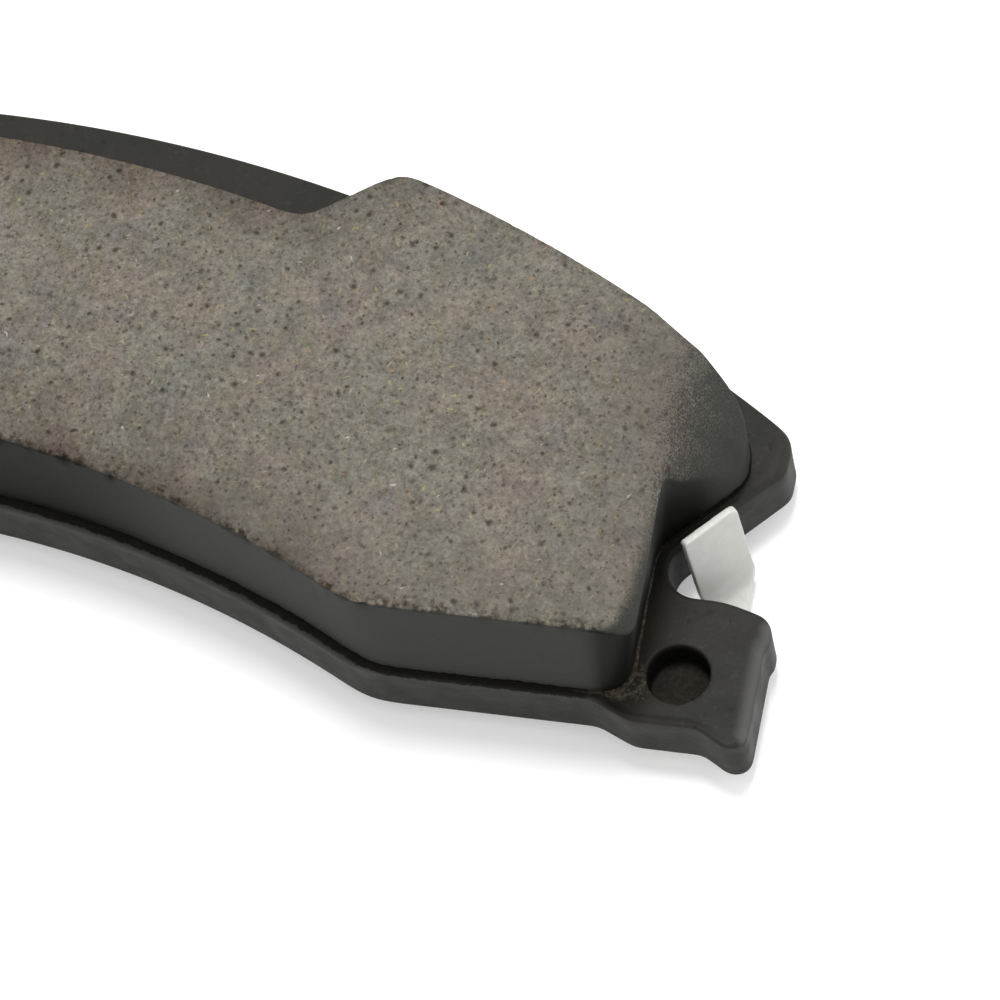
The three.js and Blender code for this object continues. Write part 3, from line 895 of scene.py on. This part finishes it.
def bond_film():
    line = block_line
    ear = ease(np.abs(line.points[:, 0]), 67, 71.5) * ease(-line.points[:, 1], 8, 13)
    corner = np.exp(-away_from(line.points, EAR_CORNER) / 2.2)
    at = np.column_stack([line.points, np.zeros(len(line.points))])
    spill = 0.02 + 0.10 * np.clip(rough(at, 1.6, 11, 3), -0.2, None)
    spill += ear * (0.02 + 0.05 * rough(at, 0.6, 12, 2)) + corner * (0.3 + 0.45 * rough(at, 1.1, 13, 2))
    low = FRONT_Z - 0.02
    shape = Shape()
    rings = [line.ring(HIDDEN_INSET, low), line.ring(-spill, low), line.ring(0.04 - spill, low + 0.06)]
    for part in np.linspace(0, 1, 8)[1:]:
        rings.append(line.ring(0.5 * part - spill * (1 - part), FILM_TOP - 0.08 * (1 - part)))
    rings.append(line.ring(HIDDEN_INSET, FILM_TOP))
    shape.loft(rings)
    shape.lid(rings[0], low, False)
    shape.lid(rings[-1], FILM_TOP, True)
    thing, points = shape.mesh("adhesive_film")
    outside = (line.nearest(points)[1] < 0.4) & (points[:, 2] > low + 0.1)
    heap = crumbs(points, 0.6, 3) * 0.08 + 0.08 * rough(points, 0.4, 14)
    near = np.exp(-away_from(points, EAR_CORNER) / 2.0)
    moved = points.copy()
    moved[:, 2] += outside * near * np.clip(heap + 0.05, 0, None)
    move_points(thing, moved)
    # where the film shows its own brown-gold; elsewhere it is painted near black as shade
    mark(thing, "ear", ease(np.abs(points[:, 0]), 66, 71) * ease(-points[:, 1], 8, 13))
    finish_piece(thing, film_material(), "cured_adhesive", "bond_film")


# ---- Backing plate ----

RECESS_DEPTHS = {1: 3.0, -1: 1.85}                  # at the right and at the left

# the back of each boss, from its middle outwards, as radius and height
STAKED_BOSS = (
    (0.02, 0.12), (0.9, 0.1), (1.5, 0.02), (STAKE_R - 0.5, 0), (STAKE_R - 0.12, 0.12), (STAKE_R, 0.4),
    (STAKE_R, 0.8), (STAKE_R - 0.15, STAKE_T - 0.05), (STAKE_R - 0.5, STAKE_T), (BOSS_R, STAKE_T),
    (BOSS_R, BACK_Z),
)
PLAIN_BOSS = (
    (0.02, 0.0), (1.2, 0.0), (BOSS_R - 0.35, 0.0), (BOSS_R - 0.1, 0.08), (BOSS_R, 0.3), (BOSS_R, 1.0),
    (BOSS_R, BACK_Z),
)


def recess(deep):
    """A recess from its mouth to the middle of its floor, as radius and depth."""
    return (
        (RECESS_R + 0.6, 0), (RECESS_R + 0.22, 0), (RECESS_R + 0.1, 0.02), (RECESS_R + 0.03, 0.08),
        (RECESS_R, 0.2), (RECESS_R - 0.02, 0.8), (RECESS_R - 0.03, deep - 0.35), (RECESS_R - 0.1, deep - 0.1),
        (RECESS_R - 0.3, deep), (1.6, deep), (0.8, deep), (0.02, deep),
    )


def circle(x, y, radius, height, count=80):
    turn = np.linspace(0, 2 * math.pi, count, endpoint=False)
    return np.column_stack([x + radius * np.cos(turn), y + radius * np.sin(turn), np.full(count, height)])


def plate_rings(line):
    """The plate's side from the back up, and its front edge rolled over, more so at the ends."""
    rings = [line.ring(inset, BACK_Z + rise) for inset, rise in ((0.3, 0), (0.1, 0.06), (0.0, 0.25))]
    rings += [line.ring(0, z) for z in np.linspace(BACK_Z + 0.5, FRONT_Z - 1.0, 8)]
    ends = ease(np.abs(line.out[:, 0]), 0.5, 0.97) * ease(np.abs(line.points[:, 0]), 76, 80)
    ends = Outline.softened(ends[:, None], 0.35, 0.7)[:, 0]
    roll, drop = 0.35 + 0.85 * ends, 0.3 + 0.5 * ends
    for turn in np.linspace(0, math.pi / 2, 9):
        rings.append(line.ring(roll * (1 - math.cos(turn)), FRONT_Z - drop * (1 - math.sin(turn))))
    rings += [line.ring(roll + more, FRONT_Z) for more in (0.25, 0.6)]
    return rings


def plate_mesh(line):
    rings = plate_rings(line)
    shape = Shape()
    shape.loft(rings)
    mouths, roots = [], []
    for side, boss in ((1, STAKED_BOSS), (-1, PLAIN_BOSS)):
        x = side * BOSS_X
        top = [circle(x, BOSS_Y, radius, FRONT_Z - down) for radius, down in recess(RECESS_DEPTHS[side])]
        bottom = [circle(x, BOSS_Y, radius, height) for radius, height in boss]
        shape.loft(top)
        shape.loft(bottom)
        mouths.append(top[0])
        roots.append(bottom[-1])
    shape.fill(rings[-1], lambda x, y: np.full(len(x), FRONT_Z), 1.1, mouths)
    shape.fill(rings[0], lambda x, y: np.full(len(x), BACK_Z), 2.2, roots)
    return shape.mesh("plate_body")


class PlatePlace:
    """Where each of the plate's vertices lies, and how far from the boss and the block."""

    def __init__(self, points, line):
        self.out, self.inset = line.nearest(points)
        self.far = np.abs(points[:, 0])
        self.down = FRONT_Z - points[:, 2]
        middle = np.array([math.copysign(BOSS_X, x) for x in points[:, 0]])
        self.from_boss = np.hypot(points[:, 0] - middle, points[:, 1] - BOSS_Y)
        self.in_recess = (self.from_boss < RECESS_R + 0.2) & (points[:, 2] > 3)
        self.recess_floor = self.in_recess & (points[:, 2] < 6)
        self.on_side = (self.inset < 0.02) * (self.from_boss > 4)
        self.from_block = np.array([block_line.tree.find((x, y, 0))[2] for x, y in points[:, :2]])
        self.block_out = block_line.nearest(points)[0]


def uneven_plate(points, at):
    """A slightly wavy side, and a coarse floor to each recess."""
    wall = at.on_side * ease(at.down, 0.9, 1.6) * ease(points[:, 2] - BACK_Z, 0.2, 0.8)
    moved = points.copy()
    moved[:, :2] -= at.out * (wall * (0.02 + 0.015 * rough(points * (1, 1, 0.6), 3, 21, 2)))[:, None]
    floor_middle = at.recess_floor & (at.from_boss < 2.3)
    moved[:, 2] += np.where(floor_middle, 0.05 * rough(points, 0.9, 23, 2), 0)
    return moved


def mark_plate(thing, points, at):
    z = points[:, 2]
    by_ear = ease(-points[:, 1], -EAR_TOP_Y - 3, -EAR_TOP_Y)
    on_front = z > FRONT_Z - 1.2
    # painted highlight on the rounded rim of the ear's end
    end_face = ease(np.abs(at.out[:, 0]), 0.6, 0.95) * ease(at.far, 79.5, 81)
    rim = (1 - ease(at.inset, 0.3, 1.35)) * ease(z, FRONT_Z - 1.0, FRONT_Z - 0.3)
    mark(thing, "end_highlight", rim * end_face * by_ear * 0.45)
    mark(thing, "sheared", at.on_side * (1 - ease(z, FRONT_Z - 0.6, FRONT_Z - 0.1)))
    mark(thing, "hollow", at.recess_floor & (at.from_boss < RECESS_R - 0.05))
    ear = ease(at.far, 67, 70.5) * ease(-points[:, 1], 11, 15)
    corner = np.exp(-(away_from(points, EAR_DIRT) / 2.0) ** 2)
    residue = np.clip(ear * np.exp(-at.from_block / 0.6) * 0.45 + corner * 0.9, 0, 1)
    mark(thing, "residue", on_front * residue)
    below = ease(-at.block_out[:, 1], 0.1, 0.5) * (1 - ease(at.far, 67, 71))
    beside_block = 1 - ease(at.from_block, 0.5, 7)
    mark(thing, "grime", on_front * beside_block * (0.2 + 0.8 * by_ear) * (1 - below))
    # painted shade on the plate's ledge in the joint under the block's side
    joint_shade_level = ease(z, FRONT_Z - 0.5, FRONT_Z - 0.1)
    mark(thing, "joint_shade", joint_shade_level * below * (1.05 - ease(at.from_block, 0.2, 0.95)))
    # painted light on the outer part of the ledge beside the block's foot
    lit_ledge_level = ease(z, FRONT_Z - 0.42, FRONT_Z - 0.12)
    ledge = ease(at.from_block, 0.35, 0.65) * (1 - ease(at.from_block, 1.5, 2.5))
    mark(thing, "ledge", below * lit_ledge_level * ledge)
    # painted shade in the notch, and on the walls of each recess
    in_notch = np.exp(-(away_from(points, NOTCH_MIDDLE) / 3.4) ** 2)
    in_notch *= 0.55 + 0.35 * (z < FRONT_Z - 0.25)
    bore = at.in_recess * ease(at.down, 0.05, 0.7) * (at.from_boss > RECESS_R - 0.2)
    mark(thing, "shade", np.maximum(in_notch, 0.9 * bore))
    # painted shade: a dark line along the rounded lower front edge of the ear
    along_ear = ease(at.far, 68, 71) * (1 - ease(at.far, 77.5, 80.5))
    lower_edge = ease(-at.out[:, 1], 0.2, 0.7) * along_ear * (at.from_boss > RECESS_R + 0.3)
    edge_shade = 0.95 * np.exp(-((at.inset - 0.5) / 0.2) ** 2) * (at.inset > 0.02)
    mark(thing, "edge_shade", edge_shade * lower_edge * on_front)


def backing_plate():
    line = Outline(flat_loops("backing_plate", FRONT_Z)[0], 0.35, 0.3, 1.2, 67)
    thing, points = plate_mesh(line)
    at = PlatePlace(points, line)
    move_points(thing, uneven_plate(points, at))
    mark_plate(thing, points, at)
    finish_piece(thing, plate_material(), "plate_paint", "backing_plate")


# ---- Shim and wear indicator ----

STRIP_VOXEL = 0.11
STRIP_SOFTENING = 6                # passes
STRIP_END = 0.7                    # this much of the strip's outer end is pressed in
STRIP_END_LEFT = 0.5               # to less than this


def shim_layer(node, material, slot, roll):
    """One layer of the shim, with its back edge rolled by `roll`."""
    low, high = box_mm(node)
    line = Outline(flat_loops(node, low[2])[0], 0.8, 0.6)
    rings = [line.ring(1.5, low[2]), line.ring(roll, low[2])]
    if roll > 0.05:
        rings.append(line.ring(0.3 * roll, low[2] + 0.3 * roll))
    rings += [line.ring(0, low[2] + min(roll, 0.3 * (high[2] - low[2]))), line.ring(0, high[2])]
    rings.append(line.ring(1.5, high[2]))
    shape = Shape()
    shape.loft(rings)
    shape.fill(rings[0], lambda x, y: np.full(len(x), low[2]), 2.5)
    shape.lid(rings[-1], high[2], True)
    thing, _ = shape.mesh(node + "_sheet")
    finish_piece(thing, material, slot, node)


def wear_indicator():
    """The CAD strip with softened corners."""
    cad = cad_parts["wear_indicator"]
    thing = new_object("indicator_strip", cad.data.copy())
    weld(thing.data)
    remesh = thing.modifiers.new("even", "REMESH")
    remesh.mode = "VOXEL"
    remesh.voxel_size = STRIP_VOXEL * MM
    soften = thing.modifiers.new("soften", "SMOOTH")
    soften.factor = 0.5
    soften.iterations = STRIP_SOFTENING
    shown = bpy.context.evaluated_depsgraph_get()
    even = bpy.data.meshes.new_from_object(thing.evaluated_get(shown))
    thing.modifiers.clear()
    thing.data = even
    points = points_of(even)
    past = np.clip(points[:, 0] - (box_mm("wear_indicator")[1][0] - STRIP_END), 0, None)
    points[:, 0] += STRIP_END_LEFT * (1 - np.exp(-past / STRIP_END_LEFT)) - past
    move_points(thing, points)
    even.shade_smooth()
    finish_piece(thing, spring_steel_material(), "spring_steel", "wear_indicator")


# ---- Floor, light and camera ----

FLOOR_HALF = 4.0                   # metres
SKY = 0.82
CAMERA_TURNS = (29.92, 26.48, 17.23)                # degrees: tilt from straight down, swing, roll
CAMERA_LENS = 167.36
CAMERA_DISTANCE = 401.3
CAMERA_AIM = (56.21, 109.87 - AXIS_DROP, BACK_Z)


def floor():
    """Pale translucent table, softly lit from below as well."""
    mesh = bpy.data.meshes.new("floor")
    half = FLOOR_HALF
    corners = [(-half, -half, 0), (half, -half, 0), (half, half, 0), (-half, half, 0)]
    mesh.from_pydata(corners, [], [(0, 1, 2, 3)])
    thing = new_object("floor", mesh)
    g = Graph("floor_paper", specular=0.0)
    tint = g.mix(g.noise(180, 2), (0.78, 0.78, 0.78), (0.80, 0.80, 0.80))
    g.shader.inputs["Emission Color"].default_value = (1, 1, 1, 1)
    g.shader.inputs["Emission Strength"].default_value = 0.3
    mesh.materials.append(g.finish(tint, 0.9))


def area_light(name, place, toward, size, energy):
    """A panel. Places and sizes are metres."""
    data = bpy.data.lights.new(name, "AREA")
    data.shape = "RECTANGLE"
    data.size, data.size_y = size
    data.energy = energy
    lamp = new_object(name, data)
    lamp.location = place
    aim = Vector(toward) - Vector(place)
    lamp.rotation_mode = "QUATERNION"
    lamp.rotation_quaternion = aim.to_track_quat("-Z", "Y")


def studio():
    world = bpy.data.worlds.new("studio")
    bpy.context.scene.world = world
    world.use_nodes = True
    sky = world.node_tree.nodes["Background"]
    sky.inputs["Color"].default_value = (1, 1, 1, 1)
    sky.inputs["Strength"].default_value = SKY
    area_light("overhead", (0.07, 0.145, 0.82), (0.03, 0, 0), (0.16, 0.17), 3.9)
    area_light("side", (0.75, 0.2, 0.35), (0.06, 0, 0.01), (0.5, 0.4), 1.4)


def camera():
    """Long lens, looking down at the pad's right half from a low left side, rolled a little."""
    tilt, swing, roll = (math.radians(a) for a in CAMERA_TURNS)
    ahead = Vector((-math.sin(swing) * math.sin(tilt), math.cos(swing) * math.sin(tilt), -math.cos(tilt)))
    level = Vector((math.cos(swing), math.sin(swing), 0))
    upward = level.cross(ahead)
    right = level * math.cos(roll) - upward * math.sin(roll)
    up = level * math.sin(roll) + upward * math.cos(roll)
    data = bpy.data.cameras.new("camera")
    data.lens = CAMERA_LENS
    data.clip_start = 0.01
    data.clip_end = 20
    thing = new_object("camera", data)
    target = Vector(CAMERA_AIM) * MM
    facing = Matrix((right, up, -ahead)).transposed().to_4x4()
    thing.matrix_world = Matrix.Translation(target - ahead * CAMERA_DISTANCE * MM) @ facing
    bpy.context.scene.camera = thing


inner_rubber = rubber_material("shim_rubber_inner", (0.012, 0.012, 0.012), (0.020, 0.020, 0.019))
outer_rubber = rubber_material("shim_rubber", (0.014, 0.014, 0.014), (0.024, 0.024, 0.023))

friction_block()
underlayer()
bond_film()
backing_plate()
shim_layer("shim_adhesive", adhesive_material(), "shim_adhesive", 0.02)
shim_layer("shim_inner_rubber", inner_rubber, "shim_rubber", 0.02)
shim_layer("shim_core", core_material(), "shim_steel", 0.04)
shim_layer("shim_outer_rubber", outer_rubber, "shim_rubber", 0.08)
wear_indicator()
floor()
studio()
camera()
bpy.context.scene.view_settings.view_transform = "Standard"
